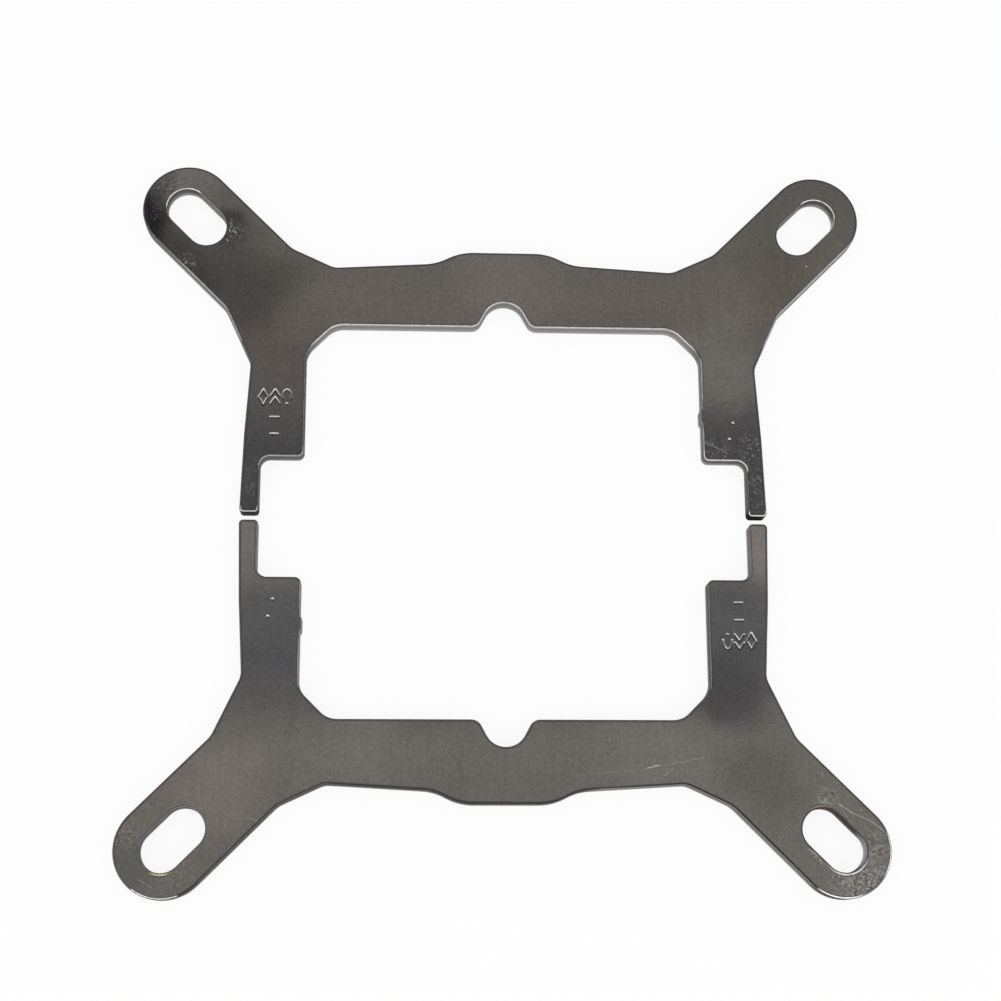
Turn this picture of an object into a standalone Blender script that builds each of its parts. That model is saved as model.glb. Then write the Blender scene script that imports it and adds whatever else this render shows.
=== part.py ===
"""CPU cooler mounting bracket in two stamped steel halves, in metres, +Z up.

The bracket holds the pump head of a liquid cooler down on the board round a processor socket. It
is two identical stampings from one die. Each is half a square frame with two arms on its
diagonals, and a slot in each arm reaches the screws of both socket sizes. One half is the other
turned half way round, with their slim fingers nearly touching. The origin is the bracket's centre
on its underside: X runs along the rails, and Y from the front half to the rear half.
"""
import bmesh
import bpy
from math import atan2, ceil, cos, pi, radians, sin, sqrt, tan
from mathutils import Vector

MM = 0.001

# Sheet, in millimetres like every length below
THICKNESS = 2.0
ROLL_RADIUS = 0.25          # top edge, drawn down by the punch
BURR_RADIUS = 0.10          # bottom edge, tumbled

# Arms, each on a diagonal of the frame
SLOT_SPAN = 77.5            # between the slots' middles
SLOT_TRAVEL = 5.0           # from the smallest to the largest screw square, 75 to 80
SLOT_WIDTH = 5.0
SLOT_SIDE_WALL = 3.2
SLOT_END_WALL = 3.0
FLARE_START = 8.7           # beyond the opening's corner along the diagonal, where the arm widens
FLARE_ANGLE = 20.0          # degrees between the flare and the arm
ARM_ROOT_RADIUS = 3.4
FLARE_ROOT_RADIUS = 2.5

# Half frame
OPENING = 49.2              # square round the pump head
CORNER_CHAMFER = 3.45       # legs of the chamfer in each inner corner
CORNER_RADIUS = 2.8
RAIL_WIDTH = 8.95           # at the middle, under the hump
LEG_WIDTH = 8.0             # at the split
EDGE_TAPER = 3.4            # degrees, outer edges of rail and leg

# Hump behind the notch, on the rail's outer edge
HUMP_DEPTH = 10.0           # from the opening to the hump's flat
HUMP_FLAT = 11.0
HUMP_SLOPE = 27.0           # degrees
HUMP_TOP_RADIUS = 7.0
HUMP_FOOT_RADIUS = 6.5

# Notch in the middle of the rail's inner edge
NOTCH_DEPTH = 3.25
NOTCH_RADIUS = 2.6
NOTCH_WALL = 62.0           # degrees between its walls and the rail's edge
NOTCH_MOUTH_RADIUS = 1.4

# Legs' ends, measured from the split between the halves
TIP_GAP = 0.9               # between facing fingertips
WINDOW_LENGTH = 15.0        # between facing blocks
BLOCK_WIDTH = 5.35          # step inside the finger
BLOCK_RADIUS = 0.8
FINGER_ROOT_RADIUS = 1.2
FINGER_TAPER = 1.7          # degrees, outer edge beyond the kink
KINK_PLACE = 10.3
TIP_RADIUS = 0.5

# Stub of the carrier strip, on one leg's inner edge
STUB_PLACE = 13.3
STUB_LENGTH = 2.0
STUB_HEIGHT = 0.22
STUB_SLOPE = 45.0           # degrees, its two ends
STUB_RADIUS = 0.36

ARC_STEP = radians(12.0)
ROLL_SEGMENTS = 2


def line(x, y, angle):
    """Line through (x, y), at an angle in degrees from +X."""
    return Vector((x, y)), Vector((cos(radians(angle)), sin(radians(angle))))


def meet(first, second):
    """Point where two lines cross."""
    start, direction = first
    other, across = second
    return start + direction * ((other - start).cross(across) / direction.cross(across))


def arc(centre, radius, start, turn):
    """Points of an arc that starts at one angle and turns by another, in radians."""
    steps = max(2, ceil(abs(turn) / ARC_STEP))
    angles = [start + turn * step / steps for step in range(steps + 1)]
    return [centre + radius * Vector((cos(angle), sin(angle))) for angle in angles]


def rounded(corners):
    """Closed outline through (point, radius) corners, with an arc in each that has a radius.

    Two arcs that share an edge too short for both are shortened together.
    """
    count = len(corners)
    points = [point for point, radius in corners]
    edges = [points[(index + 1) % count] - points[index] for index in range(count)]
    turns = [edges[index - 1].angle_signed(edges[index]) for index in range(count)]
    reaches = [radius * tan(abs(turn) / 2) for (point, radius), turn in zip(corners, turns)]
    shares = [
        min(1.0, edge.length / max(reaches[index] + reaches[(index + 1) % count], 1e-9))
        for index, edge in enumerate(edges)
    ]
    outline = []
    for index, (corner, radius) in enumerate(corners):
        share = min(shares[index - 1], shares[index])
        reach = reaches[index] * share
        if reach < 1e-6:
            outline.append(corner)
            continue
        turn = -turns[index]
        side = 1.0 if turn > 0 else -1.0
        before = edges[index - 1].normalized()
        start = corner - before * reach
        inward = Vector((-before.y, before.x)) * side
        centre = start + inward * radius * share
        outline += arc(centre, radius * share, atan2(-inward.y, -inward.x), turn)
    return [point for index, point in enumerate(outline) if (point - outline[index - 1]).length > 1e-5]


def mirrored(corners):
    """The same corners on the other side of the Y axis, in the opposite order."""
    return [(Vector((-point.x, point.y)), radius) for point, radius in reversed(corners)]


def along_diagonal(distance, side):
    """Point at a distance along the +X +Y diagonal and a distance to its left."""
    return Vector((distance - side, distance + side)) / sqrt(2)


def slot_ends():
    """Distances along the diagonal of a screw in the smallest and in the largest square."""
    return (SLOT_SPAN - SLOT_TRAVEL / 2) / sqrt(2), (SLOT_SPAN + SLOT_TRAVEL / 2) / sqrt(2)


def arm_corners():
    """Corners of the arm and its two flares, from the rail round to the leg."""
    edge = OPENING / 2
    long_edge = line(0, edge + RAIL_WIDTH, -EDGE_TAPER)
    leg_edge = line(edge + LEG_WIDTH, 0, 90 + EDGE_TAPER)
    half_width = SLOT_WIDTH / 2 + SLOT_SIDE_WALL
    end = slot_ends()[1] + SLOT_WIDTH / 2 + SLOT_END_WALL
    start = edge * sqrt(2) + FLARE_START
    rail_root = along_diagonal(start, half_width)
    leg_root = along_diagonal(start, -half_width)
    return [
        (meet(long_edge, line(*rail_root, 45 - FLARE_ANGLE)), FLARE_ROOT_RADIUS),
        (rail_root, ARM_ROOT_RADIUS),
        (along_diagonal(end, half_width), half_width),
        (along_diagonal(end, -half_width), half_width),
        (leg_root, ARM_ROOT_RADIUS),
        (meet(leg_edge, line(*leg_root, 45 + FLARE_ANGLE)), FLARE_ROOT_RADIUS),
    ]


def hump_corners():
    """The hump's two corners right of the middle."""
    top = OPENING / 2 + HUMP_DEPTH
    slope = line(HUMP_FLAT / 2, top, -HUMP_SLOPE)
    long_edge = line(0, OPENING / 2 + RAIL_WIDTH, -EDGE_TAPER)
    return [
        (Vector((HUMP_FLAT / 2, top)), HUMP_TOP_RADIUS),
        (meet(slope, long_edge), HUMP_FOOT_RADIUS),
    ]


def leg_end_corners():
    """Outer edge past the kink, round the finger's tip and root, to the block's inner corner."""
    edge = OPENING / 2
    kink = meet(line(edge + LEG_WIDTH, 0, 90 + EDGE_TAPER), line(0, KINK_PLACE, 0))
    finger_edge = line(*kink, 90 + FINGER_TAPER)
    tip = line(0, TIP_GAP / 2, 0)
    step = edge + BLOCK_WIDTH
    return [
        (kink, 0),
        (meet(finger_edge, tip), TIP_RADIUS),
        (Vector((step, TIP_GAP / 2)), TIP_RADIUS),
        (Vector((step, WINDOW_LENGTH / 2)), FINGER_ROOT_RADIUS),
        (Vector((edge, WINDOW_LENGTH / 2)), BLOCK_RADIUS),
    ]


def stub_corners():
    """Low bump that the cut carrier strip leaves on the leg's inner edge."""
    edge = OPENING / 2
    run = STUB_HEIGHT / tan(radians(STUB_SLOPE))
    low = STUB_PLACE - STUB_LENGTH / 2
    high = STUB_PLACE + STUB_LENGTH / 2
    return [
        (Vector((edge, low)), STUB_RADIUS),
        (Vector((edge - STUB_HEIGHT, low + run)), STUB_RADIUS),
        (Vector((edge - STUB_HEIGHT, high - run)), STUB_RADIUS),
        (Vector((edge, high)), STUB_RADIUS),
    ]


def inner_corners():
    """Chamfered inner corner and the mouth of the notch."""
    edge = OPENING / 2
    mouth = meet(line(0, edge, 0), line(*notch_apex(), 180 - NOTCH_WALL))
    return [
        (Vector((edge, edge - CORNER_CHAMFER)), CORNER_RADIUS),
        (Vector((edge - CORNER_CHAMFER, edge)), CORNER_RADIUS),
        (mouth, NOTCH_MOUTH_RADIUS),
    ]


def notch_apex():
    """Point where the notch's two walls would meet above its round bottom."""
    above = NOTCH_RADIUS / cos(radians(NOTCH_WALL)) - NOTCH_RADIUS
    return Vector((0, OPENING / 2 + NOTCH_DEPTH + above))


def half_outline():
    """Outline of the rear half, clockwise from the hump."""
    upper = hump_corners() + arm_corners() + leg_end_corners()
    right = upper + stub_corners() + inner_corners()
    left = upper + inner_corners()
    return rounded(right + [(notch_apex(), NOTCH_RADIUS)] + mirrored(left))


def slot_outline(mirror):
    """Round-ended slot along the arm on one side: mirror is 1 at +X and -1 at -X."""
    inner, outer = slot_ends()
    half_width = SLOT_WIDTH / 2
    low, high = inner - half_width, outer + half_width
    corners = [
        (along_diagonal(low, half_width), half_width),
        (along_diagonal(high, half_width), half_width),
        (along_diagonal(high, -half_width), half_width),
        (along_diagonal(low, -half_width), half_width),
    ]
    return rounded([(Vector((mirror * point.x, point.y)), radius) for point, radius in corners])


def sheet_curve(outlines, name):
    """Flat curve of closed outlines, filled and extruded to the sheet's thickness from Z = 0."""
    curve = bpy.data.curves.new(name, "CURVE")
    curve.dimensions = "2D"
    curve.fill_mode = "BOTH"
    curve.extrude = THICKNESS / 2 * MM
    for outline in outlines:
        spline = curve.splines.new("POLY")
        spline.points.add(len(outline) - 1)
        spline.use_cyclic_u = True
        for spline_point, point in zip(spline.points, outline):
            spline_point.co = (point.x * MM, point.y * MM, 0, 1)
    blank = bpy.data.objects.new(name, curve)
    blank.location.z = THICKNESS / 2 * MM
    bpy.context.scene.collection.objects.link(blank)
    return blank


def welded_mesh(blank):
    """Closed mesh of the curve, at its place, with its rims weighted for the Bevel modifier."""
    bpy.context.view_layer.update()
    depsgraph = bpy.context.evaluated_depsgraph_get()
    mesh = bpy.data.meshes.new_from_object(blank.evaluated_get(depsgraph))
    mesh.transform(blank.matrix_world)
    shell = bmesh.new()
    shell.from_mesh(mesh)
    bmesh.ops.remove_doubles(shell, verts=shell.verts, dist=1e-7)
    bmesh.ops.dissolve_limit(shell, angle_limit=radians(1), verts=shell.verts, edges=shell.edges)
    weights = shell.edges.layers.float.new("bevel_weight_edge")
    for edge in shell.edges:
        if edge.calc_face_angle(0) < radians(80):
            continue
        heights = [vert.co.z for vert in edge.verts]
        if min(heights) > THICKNESS / 2 * MM:
            edge[weights] = 1.0
        elif max(heights) < THICKNESS / 2 * MM:
            edge[weights] = BURR_RADIUS / ROLL_RADIUS
    shell.to_mesh(mesh)
    shell.free()
    curve = blank.data
    bpy.data.objects.remove(blank)
    bpy.data.curves.remove(curve)
    return mesh


def plated_steel():
    """Dark nickel plate over steel."""
    material = bpy.data.materials.new("plated_steel")
    material.use_nodes = True
    shader = material.node_tree.nodes["Principled BSDF"]
    shader.inputs["Base Color"].default_value = (0.19, 0.18, 0.165, 1)
    shader.inputs["Metallic"].default_value = 1.0
    shader.inputs["Roughness"].default_value = 0.34
    return material


def place_half(name, mesh, turn, collection):
    """One stamping, turned about the bracket's centre, with its edges rolled and tumbled."""
    half = bpy.data.objects.new(name, mesh)
    half.rotation_euler.z = turn
    collection.objects.link(half)
    edges = half.modifiers.new("edges", "BEVEL")
    edges.limit_method = "WEIGHT"
    edges.width = ROLL_RADIUS * MM
    edges.segments = ROLL_SEGMENTS
    edges.loop_slide = False
    edges.use_clamp_overlap = False
    edges.harden_normals = False
    return half


def main():
    for old in list(bpy.data.objects):
        bpy.data.objects.remove(old)
    bracket = bpy.data.collections.new("cooler_mounting_bracket")
    bpy.context.scene.collection.children.link(bracket)
    outlines = [half_outline(), slot_outline(1), slot_outline(-1)]
    mesh = welded_mesh(sheet_curve(outlines, "half_blank"))
    mesh.name = "half_stamping"
    mesh.materials.clear()
    mesh.materials.append(plated_steel())
    mesh.shade_smooth()
    mesh.set_sharp_from_angle(angle=radians(35))
    place_half("rear_half", mesh, 0, bracket)
    place_half("front_half", mesh, pi, bracket)


main()
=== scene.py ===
# %% [markdown]
# # Cooler mounting bracket in two stamped halves
#
# The object is a steel bracket that holds the pump head of a liquid cooler down round a processor
# socket. A press blanks it from 2 mm sheet in two identical halves, which are then tumbled and
# plated in dark nickel. The imported CAD model comes first, as a fixed frame: each piece made
# below takes the place of one of its bodies, in the same metres. The CAD model's box is kept.

# %% The frame
from functools import reduce
from math import atan2, ceil, cos, pi, radians, sin, sqrt, tan

import bpy
import numpy as np
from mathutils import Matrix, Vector
from mathutils.geometry import delaunay_2d_cdt
from mathutils.kdtree import KDTree


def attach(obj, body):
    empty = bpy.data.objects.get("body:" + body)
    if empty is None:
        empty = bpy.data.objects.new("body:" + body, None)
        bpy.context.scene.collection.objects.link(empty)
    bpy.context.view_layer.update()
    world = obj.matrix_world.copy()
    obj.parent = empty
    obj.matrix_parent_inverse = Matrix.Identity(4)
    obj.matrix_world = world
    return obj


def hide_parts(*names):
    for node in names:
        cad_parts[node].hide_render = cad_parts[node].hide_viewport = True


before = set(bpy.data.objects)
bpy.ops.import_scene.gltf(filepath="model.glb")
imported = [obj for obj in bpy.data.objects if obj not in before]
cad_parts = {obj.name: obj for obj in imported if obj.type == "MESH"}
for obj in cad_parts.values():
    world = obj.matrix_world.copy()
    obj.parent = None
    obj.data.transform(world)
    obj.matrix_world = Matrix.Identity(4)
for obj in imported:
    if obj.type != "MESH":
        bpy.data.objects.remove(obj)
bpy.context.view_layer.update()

MM = 0.001
print("CAD nodes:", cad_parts)

# %% [markdown]
# ## Camera
#
# The photograph looks down on the bracket from about the height of a hand-held camera, tilted
# 14 degrees towards the front. The lens and the place are those at which the outline of the flat
# sheet falls on the photograph's. A camera this near shows the inner walls of a hole on one side
# only, and that depends on the place more than on the tilt.

# %% Camera
camera = bpy.data.objects.new("camera", bpy.data.cameras.new("camera"))
camera.data.sensor_width = 36
camera.data.lens = 66.69
camera.data.clip_start = 0.01
camera.location = Vector((-12.522, -54.537, 221.11)) * MM
camera.rotation_euler = radians(14.506), radians(-3.074), radians(-0.210)
bpy.context.scene.collection.objects.link(camera)
bpy.context.scene.camera = camera
print("camera", round(camera.location.length / MM), "mm from the bracket")

# %% [markdown]
# ## The die's outline
#
# A blanking die is drawn as straight lines and the radii between them. The same is done here:
# each corner is a point and a radius, and one function puts the arcs in. All sizes are in
# millimetres in the rear half's own frame, where the split between the halves is at Y = 0. Only
# the right side is listed where the left mirrors it.

# %% Lines, corners and arcs
ARC_STEP = radians(4)
RUN, SHORTEST = 0.5, 1e-4       # longest and shortest run between two points


def line(x, y, angle):
    """Line through (x, y), at an angle in degrees from +X."""
    return Vector((x, y)), Vector((cos(radians(angle)), sin(radians(angle))))


def meet(first, second):
    """Point where two lines cross."""
    start, direction = first
    other, across = second
    return start + direction * ((other - start).cross(across) / direction.cross(across))


def rounded(corners):
    """Closed outline through (point, radius) corners. Arcs that are too long are shortened together."""
    count = len(corners)
    points = [point for point, radius in corners]
    edges = [points[(index + 1) % count] - points[index] for index in range(count)]
    turns = [-edges[index - 1].angle_signed(edges[index]) for index in range(count)]
    reaches = [radius * tan(abs(turn) / 2) for (point, radius), turn in zip(corners, turns)]
    shares = [min(1, edge.length / max(reaches[index] + reaches[(index + 1) % count], 1e-9))
              for index, edge in enumerate(edges)]
    outline = []
    for index, (corner, radius) in enumerate(corners):
        share, turn = min(shares[index - 1], shares[index]), turns[index]
        before = edges[index - 1].normalized()
        start = corner - before * reaches[index] * share
        inward = Vector((-before.y, before.x)) * (radius * share if turn > 0 else -radius * share)
        first = atan2(-inward.y, -inward.x)
        steps = max(2, ceil(abs(turn) / ARC_STEP)) if radius else 0
        arc = [Vector((cos(first + turn * step / steps), sin(first + turn * step / steps)))
               for step in range(steps + 1)] if steps else []
        outline += [start + inward + inward.length * ray for ray in arc] or [corner]
    return outline


def metal_on_left(outline):
    """Outline as an array in equal short runs, with the enclosed area on its left."""
    ahead = outline[1:] + outline[:1]
    points = []
    for start, end in zip(outline, ahead):
        length = (end - start).length
        parts = ceil(length / RUN) if length > SHORTEST else 0
        points += [start.lerp(end, part / parts) for part in range(parts)]
    loop = np.array(points)
    x, y = loop.T
    area = np.sum(x * np.roll(y, -1) - np.roll(x, -1) * y) / 2
    return loop if area > 0 else loop[::-1]


# %% Sizes of the half
THICKNESS = 2.0
OPENING = 49.2                  # square round the pump head
RAIL_WIDTH, LEG_WIDTH, EDGE_TAPER = 8.95, 8.0, 3.4
SLOT_SPAN, SLOT_TRAVEL, SLOT_WIDTH = 77.5, 5.0, 5.0
SLOT_SIDE_WALL, SLOT_END_WALL = 3.2, 3.0
FLARE_START, FLARE_ANGLE = 8.7, 20
ARM_ROOT_RADIUS, FLARE_ROOT_RADIUS = 3.4, 2.5
CORNER_CHAMFER, CORNER_RADIUS = 3.45, 2.8
HUMP_DEPTH, HUMP_FLAT, HUMP_SLOPE = 10.0, 11.0, 27
HUMP_TOP_RADIUS, HUMP_FOOT_RADIUS = 7.0, 6.5
NOTCH_DEPTH, NOTCH_RADIUS, NOTCH_WALL, NOTCH_MOUTH_RADIUS = 3.25, 2.6, 62, 1.4
TIP_GAP, TIP_RADIUS, KINK_PLACE, FINGER_TAPER = 0.9, 0.5, 10.3, 1.7
WINDOW_LENGTH, BLOCK_WIDTH, BLOCK_RADIUS, FINGER_ROOT_RADIUS = 15.0, 5.35, 0.8, 1.2
STUB_PLACE, STUB_LENGTH, STUB_HEIGHT, STUB_RADIUS = 13.3, 2.0, 0.22, 0.36

EDGE = OPENING / 2
long_edge = line(0, EDGE + RAIL_WIDTH, -EDGE_TAPER)
leg_edge = line(EDGE + LEG_WIDTH, 0, 90 + EDGE_TAPER)


def along_diagonal(distance, side):
    """Point at a distance along the +X +Y diagonal and a distance to its left."""
    return Vector((distance - side, distance + side)) / sqrt(2)


# %% [markdown]
# ## Arms, hump, fingers and notch
#
# The arms lie on the diagonals, because the four screws do. Their slots are 5 mm longer than
# wide, so that one bracket reaches the screws of two socket sizes. The hump on the rail gives
# back the metal that the notch takes away. The fingers at the split are slim, so that they can
# hook round a rib of the pump. One leg keeps the low stub where the strip that carried the part
# through the press was cut off.

# %% Outline of one half
slot_low, slot_high = [(SLOT_SPAN + side * SLOT_TRAVEL / 2) / sqrt(2) for side in (-1, 1)]
arm_half = SLOT_WIDTH / 2 + SLOT_SIDE_WALL
arm_end = slot_high + SLOT_WIDTH / 2 + SLOT_END_WALL
rail_root = along_diagonal(EDGE * sqrt(2) + FLARE_START, arm_half)
leg_root = along_diagonal(EDGE * sqrt(2) + FLARE_START, -arm_half)
arm = [
    (meet(long_edge, line(*rail_root, 45 - FLARE_ANGLE)), FLARE_ROOT_RADIUS),
    (rail_root, ARM_ROOT_RADIUS),
    (along_diagonal(arm_end, arm_half), arm_half),
    (along_diagonal(arm_end, -arm_half), arm_half),
    (leg_root, ARM_ROOT_RADIUS),
    (meet(leg_edge, line(*leg_root, 45 + FLARE_ANGLE)), FLARE_ROOT_RADIUS),
]
hump_slope = line(HUMP_FLAT / 2, EDGE + HUMP_DEPTH, -HUMP_SLOPE)
hump = [
    (Vector((HUMP_FLAT / 2, EDGE + HUMP_DEPTH)), HUMP_TOP_RADIUS),
    (meet(hump_slope, long_edge), HUMP_FOOT_RADIUS),
]
kink = meet(leg_edge, line(0, KINK_PLACE, 0))
leg_end = [
    (kink, 0),
    (meet(line(*kink, 90 + FINGER_TAPER), line(0, TIP_GAP / 2, 0)), TIP_RADIUS),
    (Vector((EDGE + BLOCK_WIDTH, TIP_GAP / 2)), TIP_RADIUS),
    (Vector((EDGE + BLOCK_WIDTH, WINDOW_LENGTH / 2)), FINGER_ROOT_RADIUS),
    (Vector((EDGE, WINDOW_LENGTH / 2)), BLOCK_RADIUS),
]
stub_ends = STUB_PLACE - STUB_LENGTH / 2, STUB_PLACE + STUB_LENGTH / 2
stub = [
    (Vector((EDGE, stub_ends[0])), STUB_RADIUS),
    (Vector((EDGE - STUB_HEIGHT, stub_ends[0] + STUB_HEIGHT)), STUB_RADIUS),
    (Vector((EDGE - STUB_HEIGHT, stub_ends[1] - STUB_HEIGHT)), STUB_RADIUS),
    (Vector((EDGE, stub_ends[1])), STUB_RADIUS),
]
above_notch = NOTCH_RADIUS / cos(radians(NOTCH_WALL)) - NOTCH_RADIUS
apex = Vector((0, EDGE + NOTCH_DEPTH + above_notch))
inner = [
    (Vector((EDGE, EDGE - CORNER_CHAMFER)), CORNER_RADIUS),
    (Vector((EDGE - CORNER_CHAMFER, EDGE)), CORNER_RADIUS),
    (meet(line(0, EDGE, 0), line(*apex, 180 - NOTCH_WALL)), NOTCH_MOUTH_RADIUS),
]
right = hump + arm + leg_end + stub + inner
left = [(Vector((-x, y)), radius) for (x, y), radius in reversed(hump + arm + leg_end + inner)]
outer = metal_on_left(rounded(right + [(apex, NOTCH_RADIUS)] + left))

slots = []
for mirror in (1, -1):
    ends = [(slot_low - SLOT_WIDTH / 2, 1), (slot_high + SLOT_WIDTH / 2, 1),
            (slot_high + SLOT_WIDTH / 2, -1), (slot_low - SLOT_WIDTH / 2, -1)]
    corners = [along_diagonal(distance, side * SLOT_WIDTH / 2) for distance, side in ends]
    slot = rounded([(Vector((mirror * x, y)), SLOT_WIDTH / 2) for x, y in corners])
    slots.append(metal_on_left(slot)[::-1])
loops = [outer] + slots
print("outline", len(outer), "points, slots", [len(slot) for slot in slots])

# %% [markdown]
# ## The cut edge
#
# A punch does four things to the edge of a sheet. It draws the top edge down into a roll, shears a
# burnished land, tears the rest open as a rough fracture, and leaves a burr, which tumbling
# takes off. The edge is swept as a profile of insets and heights, ring by ring, because a Bevel
# modifier can't make a fracture. The fracture's rings wander a hundredth of a millimetre.

# %% Profile of the edge
ROLL_WIDTH, ROLL_DEPTH = 0.38, 0.25
SLOT_ROLL = 0.7                 # share of the roll that the smaller slot punches leave
BREAK = 0.06                    # the bottom edge's radius
LAND = 1.05                     # height above which the wall is burnished
UNDER_STEP, UPPER_STEP = 0.08, 0.03     # narrow rings that lead into the flat faces
quarter = [radians(angle) for angle in np.linspace(0, 90, 9)]
profile = [(BREAK + UNDER_STEP, 0.0)]
profile += [(BREAK * (1 - sin(turn)), BREAK * (1 - cos(turn))) for turn in quarter[::2]]
profile += [(0.0, height) for height in (0.25, 0.4, 0.55, 0.7, 0.85, 0.97, LAND, 1.15, 1.4, 1.6)]
roll = [(ROLL_WIDTH * (1 - cos(turn)), ROLL_DEPTH * (1 - sin(turn))) for turn in quarter]
roll += [(ROLL_WIDTH + UPPER_STEP, 0.0)]
chance = np.random.default_rng(7)


def inset(loop, distance):
    """Loop moved into the metal on its left, by a distance or one for each point."""
    ahead = np.roll(loop, -1, 0) - loop
    ahead /= np.linalg.norm(ahead, axis=1)[:, None]
    mean = ahead + np.roll(ahead, 1, 0)
    mean *= 2 / np.sum(mean ** 2, axis=1)[:, None]
    return loop + np.stack([-mean[:, 1], mean[:, 0]], 1) * np.reshape(distance, (-1, 1))


def smooth(value):
    """0 below 0, 1 above 1, with a soft start and end."""
    value = np.clip(value, 0, 1)
    return value * value * (3 - 2 * value)


# In corners tighter than the roll, the profile is drawn in, so that no ring folds over itself.
TIGHT_RADIUS = 0.4
TIGHT_SHARE, TIGHT_REACH, TIGHT_FADE = 0.45, 0.5, 1.2
tight_corners = np.array([point for point, radius in right + left if 0 < radius < TIGHT_RADIUS])

# The fracture goes on from ring to ring, with fresh chance in each.
TORN_KEPT, TORN_FRESH = 0.55, 0.6
TORN_MEAN, TORN_SPREAD, TORN_MOST = 0.022, 0.010, 0.05


def edge_rings(loop, share):
    """Rings of the profile along one loop, from the underside up, with a share of the full roll."""
    rings = []
    away = np.min([np.linalg.norm(loop - corner, axis=1) for corner in tight_corners], axis=0)
    room = TIGHT_SHARE + (1 - TIGHT_SHARE) * smooth((away - TIGHT_REACH) / TIGHT_FADE)
    torn = np.zeros(len(loop))
    top = [(share * distance, THICKNESS - share * drop) for distance, drop in roll]
    for distance, height in profile + top:
        depth = distance * room
        if BREAK < height < LAND:
            fresh = chance.normal(0, 1, len(loop))
            torn = TORN_KEPT * torn + TORN_FRESH * (fresh + np.roll(fresh, 1)) / sqrt(2)
            depth += np.clip(TORN_MEAN + TORN_SPREAD * torn, 0, TORN_MOST)
        rings.append(np.column_stack([inset(loop, depth), np.full(len(loop), height)]))
    return rings


print("profile", len(profile) + len(roll), "rings")

# %% [markdown]
# ## Stamped marks
#
# The die stamps three plain marks into the left leg, a diamond, two chevrons and a bow over a
# dot, with two inspection bars below them. The right leg has two centre-punch dots, and all of
# them are in both halves, since one die cuts both. They are real recesses: the flat cap gets a
# fine grid of points near each stroke, and each point is pushed down by its distance from the
# stroke.

# %% Strokes of the marks
MARK_HEIGHT, MARK_WIDTH = 2.0, 1.1
MARK_CENTRES = [(-29.75, 15.05), (-28.3, 15.05), (-26.85, 15.05)]
BAR_CENTRES = [(-28.3, 12.5), (-28.3, 10.35)]
STROKE, STROKE_FLOOR, STROKE_DEPTH = 0.17, 0.03, 0.13   # half widths at the top and the floor
DOT_RADIUS, DOT_FLOOR, DOT_DEPTH = 0.24, 0.02, 0.16


def placed(centre, points):
    """Stroke's points, given in half mark sizes from its centre."""
    return [Vector((centre[0] + x * MARK_WIDTH / 2, centre[1] + y * MARK_HEIGHT / 2))
            for x, y in points]


bow = [(-cos(radians(angle)), -0.1 + 1.1 * sin(radians(angle))) for angle in range(0, 181, 20)]
strokes = [
    placed(MARK_CENTRES[0], [(0, 1), (1, 0), (0, -1), (-1, 0), (0, 1)]),
    placed(MARK_CENTRES[1], [(-1, 0.2), (0, 1), (1, 0.2)]),
    placed(MARK_CENTRES[1], [(-1, -0.8), (0, 0), (1, -0.8)]),
    placed(MARK_CENTRES[2], bow),
    placed(MARK_CENTRES[2], [(-0.12, -0.8), (0.12, -0.8)]),
    [Vector((-28.8, 12.5)), Vector((-27.85, 12.5))],
    [Vector((-28.75, 10.35)), Vector((-27.9, 10.35))],
]
punch_dots = [Vector((28.45, 12.4)), Vector((27.95, 10.3))]


def from_stroke(points, start, end):
    """Distance of each point from a straight stroke."""
    along = np.array(end - start)
    offset = points - np.array(start)
    share = np.clip(offset @ along / max(along @ along, 1e-12), 0, 1)
    return np.linalg.norm(offset - share[:, None] * along, axis=1)


def mark_distances(points):
    """Distances from the nearest stroke and from the nearest punch dot."""
    segments = [pair for stroke in strokes for pair in zip(stroke, stroke[1:])]
    stroke = np.min([from_stroke(points, *segment) for segment in segments], axis=0)
    dot = np.min([np.linalg.norm(points - np.array(place), axis=1) for place in punch_dots], axis=0)
    return stroke, dot


def mark_depth(points):
    """Depth of the stamped marks at each point."""
    stroke, dot = mark_distances(points)
    groove = STROKE_DEPTH * smooth((STROKE - stroke) / (STROKE - STROKE_FLOOR))
    pit = DOT_DEPTH * smooth((DOT_RADIUS - dot) / (DOT_RADIUS - DOT_FLOOR))
    return np.maximum(groove, pit)


print("marks", len(strokes), "strokes and", len(punch_dots), "dots")

# %% [markdown]
# ## Faces of the sheet
#
# The rest of the top and the underside is flat. A constrained Delaunay triangulation fills them
# between the edge's last rings. It needs points inside, because one long thin triangle across
# the face would shade badly: an even triangular grid does for the plain parts.

# %% Points inside the faces
PLAIN_GRID, FINE_GRID = 0.9, 0.05
PLAIN_CLEARANCE = 0.6           # share of the plain grid that stays free along the rings
FINE_REACH = 0.95, 1.3          # half the width and height of each fine patch
FINE_MARGIN, PLAIN_MARGIN = 0.06, 0.16  # where the fine grid ends and the plain one starts
SAME_POINT = 0.45               # share of the fine grid within which two points are one


def grid(low, high, pitch):
    """Triangular grid of points in a rectangle."""
    points = []
    for row, y in enumerate(np.arange(low[1], high[1], pitch * sqrt(3) / 2)):
        across = np.arange(low[0] + row % 2 * pitch / 2, high[0], pitch)
        points.append(np.column_stack([across, np.full(len(across), y)]))
    return np.concatenate(points)


def in_metal(points, rings):
    """Which points lie inside the outer ring and outside the slots' rings."""
    inside = np.zeros(len(points), bool)
    for ring in rings:
        for (x0, y0), (x1, y1) in zip(ring, np.roll(ring, -1, 0)):
            crosses = (y0 > points[:, 1]) != (y1 > points[:, 1])
            at = x0 + (points[:, 1] - y0) / (y1 - y0 if y1 != y0 else 1) * (x1 - x0)
            inside ^= crosses & (points[:, 0] < at)
    return inside


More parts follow.
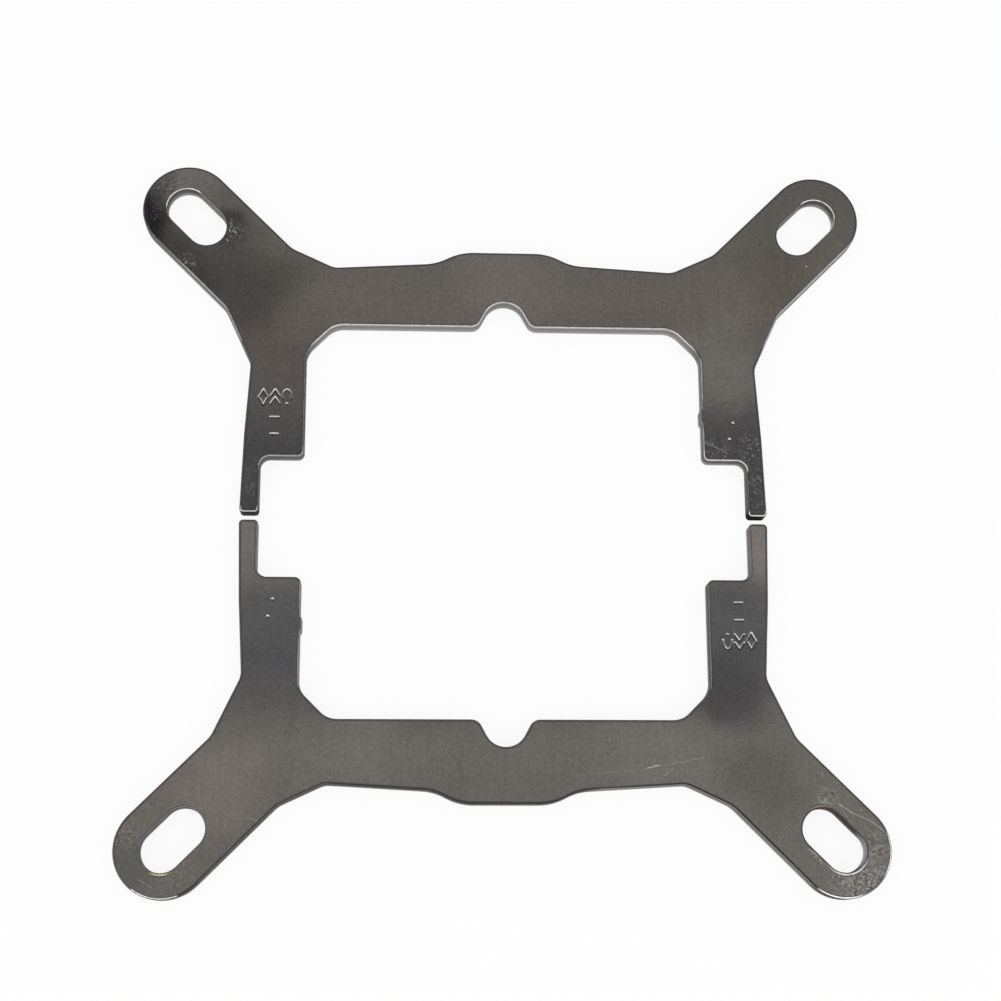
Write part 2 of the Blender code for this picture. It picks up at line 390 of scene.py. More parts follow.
def clear_of(points, rings, clearance):
    """Which points keep a distance from the rings."""
    tree = KDTree(sum(len(ring) for ring in rings))
    for x, y in np.concatenate(rings):
        tree.insert((x, y, 0), 0)
    tree.balance()
    return np.array([tree.find((x, y, 0))[2] > clearance for x, y in points])


def face_points(rings, with_marks):
    """Points inside a face: the plain grid, and the fine grid round the marks."""
    low, high = outer.min(0), outer.max(0)
    plain = grid(low, high, PLAIN_GRID)
    plain = plain[in_metal(plain, rings)]
    plain = plain[clear_of(plain, rings, PLAIN_GRID * PLAIN_CLEARANCE)]
    if not with_marks:
        return plain
    wide, tall = FINE_REACH
    fine = np.concatenate([grid((x - wide, y - tall), (x + wide, y + tall), FINE_GRID)
                           for x, y in MARK_CENTRES + BAR_CENTRES + punch_dots])
    stroke, dot = mark_distances(fine)
    fine = fine[np.minimum(stroke - STROKE, dot - DOT_RADIUS) < FINE_MARGIN]
    keys = np.unique(np.round(fine / (FINE_GRID * SAME_POINT)), axis=0, return_index=True)[1]
    fine = fine[np.sort(keys)]
    stroke, dot = mark_distances(plain)
    plain = plain[np.minimum(stroke - STROKE, dot - DOT_RADIUS) > PLAIN_MARGIN]
    return np.concatenate([plain, fine])


# %% Mesh of one half
def half_mesh():
    """One stamping as a closed mesh, in metres in the rear half's frame."""
    points, faces = [], []
    first, last = [], []
    for loop in loops:
        rings = edge_rings(loop, 1 if loop is outer else SLOT_ROLL)
        start, count = len(points), len(loop)
        for ring in rings:
            points.extend(ring)
        for level in range(len(rings) - 1):
            for step in range(count):
                a = start + level * count + step
                b = start + level * count + (step + 1) % count
                faces.append((a, b, b + count, a + count))
        first.append(start)
        last.append(start + (len(rings) - 1) * count)
    for starts, with_marks in ((last, True), (first, False)):
        ids = [list(range(start, start + len(loop))) for start, loop in zip(starts, loops)]
        ring_ids = [index for ring in ids for index in ring]
        rings = [np.array([points[index][:2] for index in ring]) for ring in ids]
        inside = face_points(rings, with_marks)
        height = THICKNESS - mark_depth(inside) if with_marks else np.zeros(len(inside))
        inner_start = len(points)
        points.extend(np.column_stack([inside, height]))
        ring_ids += list(range(inner_start, len(points)))
        flat = [Vector(points[index][:2]) for index in ring_ids]
        at, borders = 0, []
        for ring in ids:
            borders += [(at + step, at + (step + 1) % len(ring)) for step in range(len(ring))]
            at += len(ring)
        places, _, triangles, origins, *_ = delaunay_2d_cdt(flat, borders, [], 1, 1e-7)
        middles = np.array(places)[np.array(triangles)].mean(1)
        for triangle, solid in zip(triangles, in_metal(middles, rings)):
            corner = [ring_ids[origins[index][0]] for index in triangle]
            if solid:
                faces.append(tuple(corner if with_marks else reversed(corner)))
    mesh = bpy.data.meshes.new("stamping")
    mesh.from_pydata([tuple(point * MM) for point in map(np.array, points)], [], faces)
    mesh.validate()
    mesh.shade_smooth()
    return mesh


stamping = half_mesh()
print("one half:", len(stamping.vertices), "points,", len(stamping.polygons), "faces")

# %% [markdown]
# ## Shader sums
#
# The finish is worked out from the place on the sheet. Written as node links that is hard to
# read, so a socket is wrapped in a small class, and a sum on it adds the Math nodes. Any
# other node comes from the board's one method.

# %% Sockets that can be added and multiplied
class Signal:
    """A socket of a node board. A sum on it adds Math nodes."""

    def __init__(self, board, socket):
        self.board, self.socket = board, socket

    def maths(self, operation, *others, clamp=False):
        settings = {"operation": operation, "use_clamp": clamp}
        return self.board.node("Math", settings, [self, *others])

    def vector(self, operation, *others, output=0):
        return self.board.node("VectorMath", {"operation": operation}, [self, *others], output)

    def scaled(self, factor):
        """Vector or colour times a number."""
        return self.board.node("VectorMath", {"operation": "SCALE"}, {0: self, 3: factor})

    def __add__(self, other):
        return self.maths("ADD", other)

    def __sub__(self, other):
        return self.maths("SUBTRACT", other)

    def __mul__(self, other):
        return self.maths("MULTIPLY", other)

    def __truediv__(self, other):
        return self.maths("DIVIDE", other)

    def __rsub__(self, other):
        return self.board.node("Math", {"operation": "SUBTRACT"}, [other, self])

    def __rtruediv__(self, other):
        return self.board.node("Math", {"operation": "DIVIDE"}, [other, self])

    __radd__ = __add__
    __rmul__ = __mul__

    def ramp(self, start, end):
        """0 at start, 1 at end, soft in between."""
        inputs = [self, start, end, 0, 1]
        return self.board.node("MapRange", {"interpolation_type": "SMOOTHSTEP"}, inputs)

    def highest(self, other):
        return self.maths("MAXIMUM", other)


class Board:
    """Nodes of a material or a world."""

    def __init__(self, owner):
        owner.use_nodes = True
        self.tree = owner.node_tree
        self.tree.nodes.clear()

    def node(self, kind, settings=None, inputs=(), output=0):
        """New node: its settings are set first, then its inputs, by place or by name."""
        made = self.tree.nodes.new("ShaderNode" + kind)
        for name, value in (settings or {}).items():
            if name == "stops":
                while len(made.color_ramp.elements) < len(value):
                    made.color_ramp.elements.new(0.5)
                for element, (place, colour) in zip(made.color_ramp.elements, value):
                    element.position, element.color = place, (*colour, 1)
            else:
                setattr(made, name, value)
        pairs = inputs.items() if isinstance(inputs, dict) else enumerate(inputs)
        for key, value in pairs:
            if isinstance(value, Signal):
                self.tree.links.new(value.socket, made.inputs[key])
            elif value is not None:
                made.inputs[key].default_value = value
        return Signal(self, made.outputs[output]) if made.outputs else None

    def mix(self, share, first, second):
        """Colour between two colours."""
        wide = [(*value, 1) if isinstance(value, tuple) else value for value in (first, second)]
        return self.node("Mix", {"data_type": "RGBA"}, {0: share, 6: wide[0], 7: wide[1]}, 2)

    def noise(self, place, scale, detail, roughness=0.5, output=0):
        """Cloudy value about 0.5."""
        inputs = {"Vector": place, "Scale": scale, "Detail": detail, "Roughness": roughness}
        return self.node("TexNoise", {}, inputs, output)


print("shader sums ready")

# %% [markdown]
# ## Dark nickel plate
#
# Plated sheet isn't one grey. The rolling grain of the sheet shows through the plate, and handling
# leaves hairlines, scuffs round the slots and bright pin-prick pits. The colour also carries
# painted light: lighter and darker tones along the legs and in round patches are painted
# reflections of the room in the flat faces, and the cut edges, rims and stamped marks get painted
# highlights, painted shade and a painted reflection of the white table. All of it hangs on the
# place in the half's own frame, so it stays on the metal. Each half gets its own tones,
# scratches and seed, since the two halves face the light differently and no two parts wear alike.

# %% Parts of the finish
def from_line(board, place, start, end):
    """Distance from a straight line between two points."""
    along = Vector((*end, 0)) - Vector((*start, 0))
    offset = place.vector("SUBTRACT", (*start, 0))
    share = offset.vector("DOT_PRODUCT", along / along.length_squared, output=1)
    share = share.maths("ADD", 0, clamp=True)
    foot = board.node("VectorMath", {"operation": "SCALE"}, {0: along, 3: share})
    return offset.vector("DISTANCE", foot, output=1)


def spot(board, place, centre, radius):
    """Mask of a soft round spot."""
    return place.vector("DISTANCE", (*centre, 0), output=1).ramp(radius, radius * 0.25)


def wandering(board, place, seeded, scale, reach):
    """Place moved about by cloudy noise, by half the reach at most."""
    drift = board.noise(seeded, scale, 2, output=1).vector("SUBTRACT", (0.5, 0.5, 0.5))
    return place.vector("ADD", drift.vector("MULTIPLY", (reach, reach, 0)))


def highest(masks):
    """Highest of several masks."""
    return reduce(Signal.highest, masks)


def hairlines(board, place, angle, seed):
    """Faint straight hairlines in one direction."""
    turned = board.node("Mapping", {}, {
        "Vector": place, "Location": (seed * 7.3, seed * 3.1, 0),
        "Rotation": (0, 0, radians(angle)), "Scale": (0.09, 3.4, 1)})
    return board.noise(turned, 1.0, 3, 0.6).ramp(0.66, 0.76)


print("finish parts ready")

# %% Tones of the finish
TONES_END = 46                  # millimetres from the split to the arms' ends
# The first four colours below are the wear's own. The rest are painted light: a painted dark line along the
# roll and beside slot rims, painted shade on the stamped marks' flanks, and painted highlights, shade and
# reflections of the white table on the cut edges.
HAIR_TONE, WORN_TONE = (0.26, 0.25, 0.235), (0.50, 0.48, 0.45)
CUT_TONE, SPECK_TONE, PAINTED_LINE_SHADE = (0.45, 0.44, 0.42), (0.55, 0.54, 0.52), (0.020, 0.019, 0.019)
SIDE_FLANK_SHADE, REAR_FLANK_SHADE = (0.10, 0.097, 0.094), (0.012, 0.012, 0.012)
RIM_TONE, WALL_TONE, FOOT_TONE = (0.105, 0.101, 0.095), (0.170, 0.166, 0.160), (0.290, 0.283, 0.275)
SILVER_HIGHLIGHT, BRIGHT_HIGHLIGHT, BLACK = (0.58, 0.57, 0.55), (0.52, 0.51, 0.49), (0.035, 0.034, 0.033)
DIM, GREY, PALE_TABLE_REFLECTION = (0.130, 0.125, 0.118), (0.340, 0.332, 0.322), (0.62, 0.61, 0.59)

# Stretches of the legs that hold the marks, as (start, end, radius): their grooves get a painted
# silver highlight on rim, wall and foot.
MARKED = [((-30, 15), (-26.6, 15), 1.6), ((-29, 12.5), (-27.6, 12.5), 0.7),
          ((-29, 10.3), (-27.6, 10.3), 0.7), ((28.4, 12.5), (28.0, 10.2), 0.7)]
print("marked stretches", len(MARKED))


# %% Material of one half
def nickel_plate(name, tones, patches, edges, lips, scratches, scuffs, seed):
    """Dark nickel plate on stamped steel.

    tones are (place along the leg in millimetres, colour) from the fingertip to the arm's end, and
    patches are (centre, radius, share, colour): both are painted reflections of the room, tones
    that make the faces lighter and darker by place. edges are (start, end, radius, rim colour,
    wall colour, foot colour) for the stretches of edge near a line: a painted highlight on the rim
    and painted shade on the wall, where the wall goes from its own colour to the foot's towards the
    table, a painted reflection of the white table. lips are (side, centre, radius, colour): a
    painted highlight along a slot's rim, patchy with the rubbed noise, with a painted dark line
    beside it. scratches are (start, end, width, strength); scuffs are (centre, radius, strength).
    The stamped marks' flanks get a painted silver highlight, and painted shade where they face
    sideways or towards +Y.
    """
    material = bpy.data.materials.new(name)
    board = Board(material)
    local = board.node("TexCoord", {}, [], 3)
    solid = local.scaled(1 / MM)
    place = solid.vector("MULTIPLY", (1, 1, 0))
    shifted = solid.vector("ADD", (seed * 31.0, seed * 17.0, seed * 5.0))
    y = board.node("SeparateXYZ", {}, [place], 1)
    z = board.node("SeparateXYZ", {}, [solid], 2)
    normal = board.node("NewGeometry", {}, [], 1)
    back = board.node("SeparateXYZ", {}, [normal], 1)
    up = board.node("SeparateXYZ", {}, [normal], 2)

    # Painted reflection: the tones along the leg and the round patches make the faces lighter and darker by
    # place, as the room reflects in them.
    drift = board.noise(shifted, 0.055, 2)
    along = (y + (drift - 0.5) * 9) / TONES_END
    stops = [(at / TONES_END, tone) for at, tone in tones]
    colour = board.node("ValToRGB", {"stops": stops}, [along])
    warped = wandering(board, place, shifted, 0.12, 8)
    for centre, radius, share, tone in patches:
        colour = board.mix(spot(board, warped, centre, radius) * share, colour, tone)

    cloud = board.noise(shifted, 0.35, 4, 0.6)
    grain = board.noise(shifted, 2.6, 5, 0.7)
    fine = board.noise(shifted, 7.5, 3, 0.6)
    rolled = board.node("Mapping", {}, {"Vector": shifted, "Scale": (1.6, 0.06, 1)})
    streaks = board.noise(rolled, 1.0, 3, 0.6)
    level = 1 + (cloud - 0.5) * 0.22 + (grain - 0.5) * 0.95 + (fine - 0.5) * 0.70
    level = level + (streaks - 0.5) * 0.16

    pits = board.node("TexVoronoi", {"feature": "F1"}, {"Vector": shifted, "Scale": 0.62})
    speck_size = board.noise(shifted, 0.9, 1).ramp(0.52, 0.80) * 0.085
    specks = (speck_size - pits).ramp(0, 0.03)
    freckles = board.node("TexVoronoi", {"feature": "F1"}, {"Vector": shifted, "Scale": 3.7})
    area = highest(spot(board, place, centre, radius) * strength
                   for centre, radius, strength in scuffs)
    rubbed = board.noise(shifted, 2.8, 4, 0.75)
    freckled = (0.31 - freckles).ramp(0, 0.10) * rubbed.ramp(0.44, 0.56)
    worn = area * (freckled + rubbed.ramp(0.50, 0.62) * 0.32)
    level = level + area * (board.noise(shifted, 2.1, 4, 0.8) - 0.5) * 4.2

    hair = hairlines(board, shifted, 24, 1.0) + hairlines(board, shifted, -38, 2.0)
    hair = hair + hairlines(board, shifted, 75, 3.0)
    hair = hair * board.noise(shifted, 0.12, 2).ramp(0.42, 0.66)
    bent = wandering(board, place, shifted, 0.8, 0.25)
    cuts = highest(from_line(board, bent, start, end).ramp(width, width * 0.2) * strength
                   for start, end, width, strength in scratches)
    cuts = cuts * board.noise(shifted, 2.2, 2).ramp(0.28, 0.52)

    flat = up.ramp(0.95, 0.985)
    wall = up.maths("ABSOLUTE").ramp(0.84, 0.68)
    rim = (1 - up.ramp(0.935, 0.966)) * up.ramp(0.02, 0.3)
    # Mask of a painted dark line where the roll leaves the flat face, a painted reflection of the dark
    # camera above.
    painted_dark_line = (1 - up.ramp(0.982, 0.996)) * up.ramp(0.93, 0.96)
    foot = z.ramp(1.55, 0.15)
    land_edge = z + (board.noise(shifted, 0.7, 3) - 0.5) * 0.5
    torn = wall * land_edge.ramp(LAND + 0.05, LAND - 0.05)

    shade = colour.scaled(level)
    shade = board.mix(hair * flat * 0.30, shade, HAIR_TONE)
    shade = board.mix(worn * flat, shade, WORN_TONE)
    shade = board.mix(cuts * flat, shade, CUT_TONE)
    shade = board.mix(specks * flat, shade, SPECK_TONE)
    # The marks and the listed edges set the cut edge's painted light by place: a painted highlight on the
    # rim, painted shade on the wall, and a painted reflection of the white table at the wall's foot.
    marked = [(*stretch, SILVER_HIGHLIGHT, SILVER_HIGHLIGHT, SILVER_HIGHLIGHT) for stretch in MARKED]
    edge_tones = [RIM_TONE, WALL_TONE, FOOT_TONE]
    for start, end, radius, *colours in marked + edges:
        away = from_line(board, place, start, end)
        near, around = away.ramp(radius, radius * 0.7), away.ramp(radius * 1.6, radius * 0.4)
        edge_tones = [board.mix(share, tone, new)
                      for share, tone, new in zip((near, around, around), edge_tones, colours)]
    rim_tone, wall_tone, foot_tone = edge_tones
    # Painted light on the cut edge: the dark line where the roll starts, a painted highlight on the rim
    # broken into glints, painted shade on the wall, lighter towards its foot as a painted reflection of the
    # table.
    sparkle = 0.25 + board.noise(shifted, 1.7, 3, 0.7) * 1.5
    shade = board.mix(painted_dark_line * 0.7, shade, PAINTED_LINE_SHADE)
    shade = board.mix(rim, shade, rim_tone.scaled(sparkle))
    shade = board.mix(wall, shade, board.mix(foot * foot, wall_tone, foot_tone))
    shade = board.mix(torn * 0.25, shade, wall_tone)
    # Painted light on the stamped marks, by the world normal: painted shade on flanks facing sideways,
    # darker painted shade on flanks facing +Y.
    struck = highest(from_line(board, place, start, end).ramp(radius, radius * 0.7)
                     for start, end, radius in MARKED) * (1 - up.ramp(0.955, 0.99))
    sideways = back.maths("ABSOLUTE").ramp(0.30, 0.10)
    shade = board.mix(struck * sideways * 0.55, shade, SIDE_FLANK_SHADE)
    shade = board.mix(struck * back.ramp(0.06, 0.20) * 0.9, shade, REAR_FLANK_SHADE)
    # Painted highlight along a slot's rim, patchy with the rubbed noise, and a painted dark line beside it.
    for side, centre, radius, lip_tone in lips:
        axis = [(side * along / sqrt(2), along / sqrt(2)) for along in (slot_low, slot_high)]
        gap = from_line(board, place, *axis) - SLOT_WIDTH / 2
        near = spot(board, place, centre, radius) * up.ramp(0.93, 0.99)
        shade = board.mix(gap.ramp(0.50, 0.40) * near * 0.7, shade, BLACK)
        shade = board.mix(gap.ramp(0.37, 0.28) * near * rubbed.ramp(0.30, 0.45), shade, lip_tone)

    rough = 0.36 + (cloud - 0.5) * 0.12 + (grain - 0.5) * 0.10
    rough = rough + worn * 0.10 - rim * 0.10 + torn * 0.16 - specks * 0.1

    height = grain * 0.5 + fine * 0.3 + streaks * 0.3
    height = height - hair * 0.35 - cuts * 1.2 - specks * 1.5 - worn * 0.4
    scores = board.node("Mapping", {}, {"Vector": shifted, "Scale": (5.0, 5.0, 0.35)})
    scored = board.noise(scores, 1.0, 3, 0.6)
    height = height * flat + scored * wall * 1.6 + fine * torn * 4.0
    bump = board.node("Bump", {}, {"Strength": 0.5, "Distance": 0.010 * MM, "Height": height})
    principled = board.node("BsdfPrincipled", {}, {
        "Base Color": shade, "Metallic": 1.0, "Roughness": rough, "Normal": bump,
        "Specular Tint": (0.5, 0.5, 0.5, 1)})
    board.node("OutputMaterial", {}, [principled])
    return material


# The rear half's tones and patches are painted reflections of the room, lighter and darker by place; its
# edges are painted highlights, shade and table reflections on the cut edges.
rear_plate = nickel_plate(
    "dark_nickel_rear",
    tones=[(2, (0.060, 0.059, 0.062)), (9, (0.061, 0.059, 0.063)), (14, (0.089, 0.084, 0.081)),
           (21, (0.112, 0.101, 0.092)), (28, (0.128, 0.115, 0.101)), (36, (0.118, 0.110, 0.100)),
           (44, (0.107, 0.099, 0.091))],
    patches=[((-44, 31), 11, 0.85, (0.035, 0.034, 0.033)), ((-44.6, 38.6), 5.5, 0.95, (0.013, 0.012, 0.015)),
             ((-34, 29), 11, 0.75, (0.049, 0.046, 0.044)), ((-39, 45.5), 6, 0.75, (0.153, 0.146, 0.136)),
             ((-43.5, 44), 3.5, 0.5, (0.072, 0.066, 0.060)), ((-34.3, 37), 3.4, 0.7, (0.028, 0.026, 0.027)),
             ((-28, 21), 7, 0.5, (0.096, 0.080, 0.074)), ((-26.5, 30.5), 5, 0.4, (0.080, 0.073, 0.066)),
             ((27, 20), 9, 0.75, (0.161, 0.150, 0.132)),
             ((0, 30.5), 10, 0.6, (0.164, 0.147, 0.136)), ((35, 33), 8, 0.6, (0.094, 0.082, 0.074))],
    edges=[((-22.5, 25), (22.5, 25), 3.8, BRIGHT_HIGHLIGHT, GREY, (0.56, 0.55, 0.53)),
           ((-24.6, 9), (-24.6, 20), 1.0, (0.17, 0.165, 0.158), DIM, PALE_TABLE_REFLECTION),
           ((24.6, 9), (24.6, 20), 1.0, (0.36, 0.35, 0.33), (0.26, 0.25, 0.24), PALE_TABLE_REFLECTION),
           ((-29.5, 7.5), (-25, 7.5), 1.6, (0.30, 0.29, 0.28), (0.19, 0.185, 0.18), (0.40, 0.39, 0.38)),
           ((25, 7.5), (29.5, 7.5), 1.6, SILVER_HIGHLIGHT, (0.18, 0.175, 0.168), PALE_TABLE_REFLECTION),
           ((-32, 0.4), (-30.5, 0.4), 1.0, BRIGHT_HIGHLIGHT, (0.05, 0.048, 0.046), (0.15, 0.145, 0.14)),
           ((30.5, 0.4), (32, 0.4), 1.0, SILVER_HIGHLIGHT, (0.004, 0.004, 0.004), (0.03, 0.03, 0.03)),
           ((-46, 33), (-33, 25), 3.0, (0.34, 0.33, 0.32), (0.26, 0.25, 0.24), PALE_TABLE_REFLECTION),
           ((46.5, 35), (33, 25), 3.0, (0.38, 0.37, 0.36), GREY, PALE_TABLE_REFLECTION),
           ((-40, 40), (-38, 38), 3.3, (0.20, 0.19, 0.18), GREY, PALE_TABLE_REFLECTION),
           ((-42.5, 41.5), (-39.5, 42.8), 1.6, (0.85, 0.84, 0.82), (0.16, 0.155, 0.15), PALE_TABLE_REFLECTION),
           ((40, 40), (38, 38), 3.3, (0.16, 0.15, 0.14), GREY, (0.80, 0.79, 0.77)),
           ((43.6, 40), (41.2, 36.4), 1.6, (0.24, 0.22, 0.20), (0.85, 0.83, 0.80), (0.95, 0.94, 0.92)),
           ((39.5, 42.8), (42.6, 41.5), 1.6, (0.85, 0.84, 0.82), (0.13, 0.125, 0.12), PALE_TABLE_REFLECTION)],
    lips=[],
    scratches=[((23.6, 10.4), (25.2, 9.7), 0.10, 0.35), ((25.2, 9.7), (27.6, 8.6), 0.08, 0.40),
               ((24.6, 10.3), (26.4, 9.3), 0.06, 0.30), ((24.2, 9.2), (25.2, 8.6), 0.12, 0.20),
               ((-34.40, 38.3), (-34.46, 38.4), 0.13, 0.9), ((-34.6, 36.9), (-34.7, 37.1), 0.10, 0.8),
               ((-33.8, 36.7), (-33.9, 36.8), 0.12, 0.8), ((-34.8, 35.6), (-34.9, 35.8), 0.10, 0.8)],
    scuffs=[((-34.3, 37.0), 2.1, 0.6), ((-39.9, 32.5), 1.9, 0.6), ((-44.3, 39.3), 3.4, 0.14),
            ((-42.5, 43.5), 3.6, 0.4), ((31.2, 4.5), 4.2, 0.42), ((-31.0, 4.5), 4.0, 0.22),
            ((30.8, 9.0), 2.8, 0.5), ((26.5, 9.0), 2.4, 0.4)],
    seed=1.0,
)
# The front half's tones and patches are painted reflections of the room, lighter and darker by place; its
# edges are painted highlights, shade and table reflections on the cut edges, and its lips painted highlights
# on the slots' rims.
front_plate = nickel_plate(
    "dark_nickel_front",
    tones=[(3, (0.182, 0.168, 0.152)), (9, (0.106, 0.103, 0.102)), (17, (0.089, 0.087, 0.091)),
           (23, (0.118, 0.110, 0.105)), (28, (0.162, 0.150, 0.134)), (38, (0.153, 0.141, 0.128))],
    patches=[((-28, 21), 6.5, 0.8, (0.062, 0.060, 0.063)), ((17, 29), 10, 0.6, (0.196, 0.181, 0.165)),
             ((-31, 31), 8, 0.6, (0.107, 0.099, 0.090)), ((28, 13), 5, 0.5, (0.101, 0.099, 0.104)),
             ((-28, 9), 5, 0.5, (0.086, 0.083, 0.087)), ((33, 33), 8, 0.6, (0.206, 0.186, 0.172)),
             ((-17, 29), 9, 0.5, (0.186, 0.172, 0.160)), ((-41, 44.5), 6, 0.7, (0.174, 0.161, 0.153)),
             ((45, 41), 5.5, 0.8, (0.122, 0.114, 0.106)),
             ((-31, 4), 5, 0.6, (0.198, 0.181, 0.172)), ((31, 4), 5, 0.6, (0.150, 0.139, 0.128))],
    edges=[((-22, 34.3), (22, 34.3), 4.0, BLACK, (0.085, 0.083, 0.080), PALE_TABLE_REFLECTION),
           ((-24.6, 9), (-24.6, 20), 1.0, (0.20, 0.195, 0.188), (0.135, 0.131, 0.127), PALE_TABLE_REFLECTION),
           ((24.6, 9), (24.6, 20), 1.0, (0.27, 0.26, 0.25), (0.30, 0.29, 0.28), PALE_TABLE_REFLECTION),
           ((-29.95, 1.4), (-29.95, 6.6), 1.1, (0.175, 0.165, 0.155), (0.25, 0.24, 0.23), PALE_TABLE_REFLECTION),
           ((29.95, 1.4), (29.95, 6.6), 1.1, (0.165, 0.160, 0.152), (0.32, 0.31, 0.30), PALE_TABLE_REFLECTION),
           ((34, 41.5), (38, 45), 2.2, BLACK, (0.07, 0.068, 0.066), PALE_TABLE_REFLECTION),
           ((-11.5, 34.2), (-21, 33.9), 1.6, (0.30, 0.29, 0.28), GREY, PALE_TABLE_REFLECTION),
           ((-23, 34.2), (-35.5, 44.5), 3.0, (0.020, 0.019, 0.018), (0.24, 0.235, 0.23), PALE_TABLE_REFLECTION),
           ((23, 33.5), (34, 41.5), 3.0, (0.06, 0.058, 0.055), (0.11, 0.107, 0.103), GREY),
           ((-38.0, 45.6), (-45.6, 39.5), 2.2, (0.80, 0.79, 0.77), (0.04, 0.039, 0.038), GREY),
           ((38.6, 45.6), (42.4, 44.7), 1.0, SILVER_HIGHLIGHT, (0.07, 0.068, 0.066), PALE_TABLE_REFLECTION),
           ((-37.0, 37.0), (-40, 40), 3.3, (0.045, 0.036, 0.030), (0.050, 0.040, 0.034), GREY),
           ((-43.6, 38.5), (-43.4, 41), 1.7, (0.050, 0.048, 0.045), (0.50, 0.49, 0.47), (0.95, 0.94, 0.92)),
           ((37.5, 37.5), (40, 40), 3.3, (0.20, 0.19, 0.18), (0.14, 0.135, 0.13), PALE_TABLE_REFLECTION),
           ((36.8, 33.6), (34.4, 34.7), 1.2, BRIGHT_HIGHLIGHT, (0.05, 0.048, 0.046), GREY)],
    lips=[(-1, (-40.4, 42.6), 3.4, (0.80, 0.79, 0.77)), (1, (40.0, 42.6), 1.5, (0.74, 0.62, 0.42)),
          (-1, (-37.2, 35.2), 1.6, (0.30, 0.24, 0.20))],
    scratches=[((-8.3, 31.2), (-16.0, 30.5), 0.05, 0.30), ((-16.0, 30.5), (-23.6, 29.1), 0.06, 0.45),
               ((-16.8, 30.3), (-18.4, 29.9), 0.08, 1.0), ((-18.6, 31.3), (-19.8, 30.4), 0.06, 0.6),
               ((-39.4, 34.5), (-41.1, 35.6), 0.09, 0.9), ((-41.1, 35.6), (-43.0, 36.4), 0.07, 0.7),
               ((-43.0, 36.4), (-44.7, 37.7), 0.08, 0.8), ((-39.5, 34.8), (-40.9, 36.9), 0.09, 0.22),
               ((-37.1, 34.1), (-37.8, 36.4), 0.05, 0.4), ((-37.6, 30.6), (-37.7, 31.3), 0.07, 0.6),
               ((-35.5, 39.8), (-37.4, 40.9), 0.14, 0.45),
               ((30.3, 36.2), (29.0, 36.5), 0.06, 0.5), ((42.3, 43.3), (40.9, 44.1), 0.10, 0.35),
               ((-42.50, 43.55), (-42.62, 43.66), 0.16, 1.0), ((-42.03, 35.2), (-42.13, 35.25), 0.10, 0.8)],
    scuffs=[((-41.4, 43.8), 4.6, 1.0), ((-43.3, 39.8), 3.2, 0.8), ((-43.6, 43.0), 2.6, 0.9),
            ((-36.7, 40.5), 1.5, 0.9), ((44.2, 38.0), 2.8, 0.6), ((-38.0, 33.8), 1.9, 0.8),
            ((38.0, 42.6), 3.0, 0.35)],
    seed=2.0,
)
print("materials", rear_plate.name, front_plate.name)

# %% [markdown]
# ## Two halves
#
# Each half gets a copy of one mesh, as one die cuts both. The front half is the rear one turned
# half way round the bracket's centre.

# %% Place the halves
for name, node, turn, plate in (
    ("rear_half_stamping", "rear_half", 0, rear_plate),
    ("front_half_stamping", "front_half", pi, front_plate),
):
    half = bpy.data.objects.new(name, stamping.copy())
    half.data.materials.append(plate)
    half.rotation_euler.z = turn
    bpy.context.scene.collection.objects.link(half)
    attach(half, "root")
    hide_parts(node)
    print(name, "in place")

# %% [markdown]
# ## Table, flag and window
#
# The bracket lies on a white sweep, which the camera and the metal see as paper white, while it
# still takes the object's soft shadow. A bright room alone makes metal look like card. Product
# photographers therefore stand a grey flag behind it, which draws a dark line along the far
# edges, and light it from a wide soft window in front, which catches the rolled near edges. The
# camera's own dark shape over the bracket keeps the flat faces dark.

# %% White table and world
def stage_sheet(name, corners, material):
    """Sheet on the stage through pairs of corners, the lower one first."""
    mesh = bpy.data.meshes.new(name)
    points = [point for pair in corners for point in pair]
    faces = [(at, at + 2, at + 3, at + 1) for at in range(0, len(points) - 2, 2)]
    mesh.from_pydata(points, [], faces)
    mesh.materials.append(material)
    made = bpy.data.objects.new(name, mesh)
    bpy.context.scene.collection.objects.link(made)
    return made


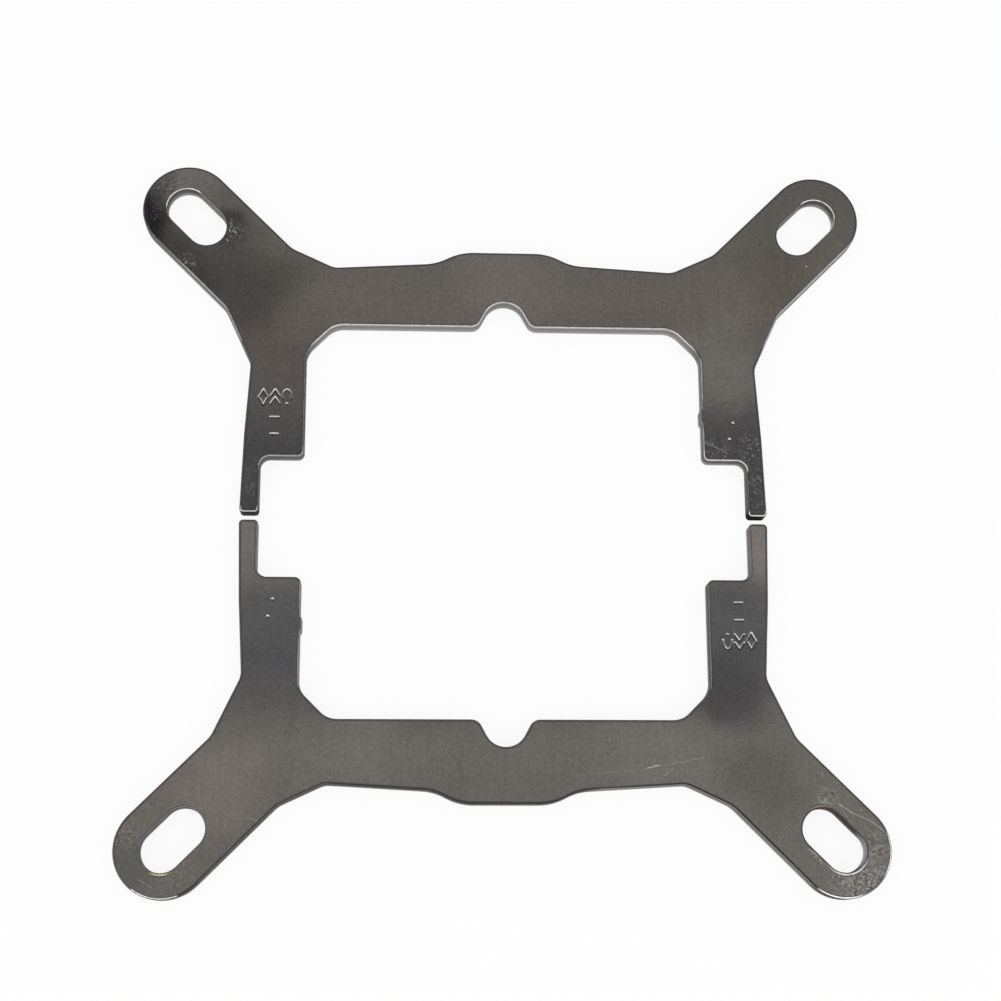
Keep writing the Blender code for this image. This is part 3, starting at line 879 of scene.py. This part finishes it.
TABLE_HALF = 1.5
CAMERA_SEES, METAL_SEES = 0.88, 0.3     # shares of paper white over the lit paper
paper = bpy.data.materials.new("white_paper")
board = Board(paper)
seen = board.node("LightPath", {}, [], 0) * CAMERA_SEES
seen = seen + board.node("LightPath", {}, [], 3) * METAL_SEES
diffuse = board.node("BsdfDiffuse", {}, {"Color": (0.84, 0.84, 0.84, 1)})
glow = board.node("Emission", {}, {"Color": (1, 1, 1, 1), "Strength": 1.0})
board.node("OutputMaterial", {}, [board.node("MixShader", {}, [seen, diffuse, glow])])
table_pairs = [((x, -TABLE_HALF, 0), (x, TABLE_HALF, 0)) for x in (TABLE_HALF, -TABLE_HALF)]
stage_sheet("table", table_pairs, paper)

world = bpy.data.worlds.new("studio")
bpy.context.scene.world = world
board = Board(world)
background = board.node("Background", {}, {"Color": (1, 1, 1, 1), "Strength": 1.0})
board.node("OutputWorld", {}, [background])


# %% Grey flag, camera and soft window
def curved(radius, first, last, low, high):
    """Pairs of corners of an upright sheet bent round the bracket, by its angles from the front."""
    angles = [radians(angle) for angle in np.linspace(first, last, 17)]
    ring = [(radius * sin(angle), -radius * cos(angle)) for angle in angles]
    return [((x, y, low), (x, y, high)) for x, y in ring]


cards = {}
for name, tone in (("black_card", 0.02), ("grey_card", 0.28)):
    cards[name] = bpy.data.materials.new(name)
    board = Board(cards[name])
    card = board.node("BsdfDiffuse", {}, {"Color": (tone, tone, tone, 1)})
    board.node("OutputMaterial", {}, [card])
cloth = bpy.data.materials.new("window_cloth")
board = Board(cloth)
glow = board.node("Emission", {}, {"Color": (1, 1, 1, 1), "Strength": 1.5})
board.node("OutputMaterial", {}, [glow])

CAMERA_HALF, CAMERA_BACK = 0.036, 0.012     # the camera's face, a little behind the lens
view = camera.rotation_euler.to_matrix()
corner = [camera.location + view @ Vector((x, y, CAMERA_BACK))
          for x in (-CAMERA_HALF, CAMERA_HALF) for y in (-CAMERA_HALF, CAMERA_HALF)]
stage = [
    ("flag_back", curved(0.34, 97, 263, 0.012, 0.13), cards["grey_card"]),
    ("camera_body", [corner[:2], corner[2:]], cards["black_card"]),
    ("window", curved(0.45, -78, 78, 0.01, 0.42), cloth),
]
for name, corners, material in stage:
    flag = stage_sheet(name, corners, material)
    flag.visible_camera = False
    flag.visible_shadow = False
    flag.visible_diffuse = name == "window"
print("stage", [name for name, corners, material in stage])

# %% [markdown] ## Finish  The view transform is the plain one, so that a colour renders as
# it is written.

# %% View transform
bpy.context.scene.view_settings.view_transform = "Standard"
bpy.context.view_layer.update()
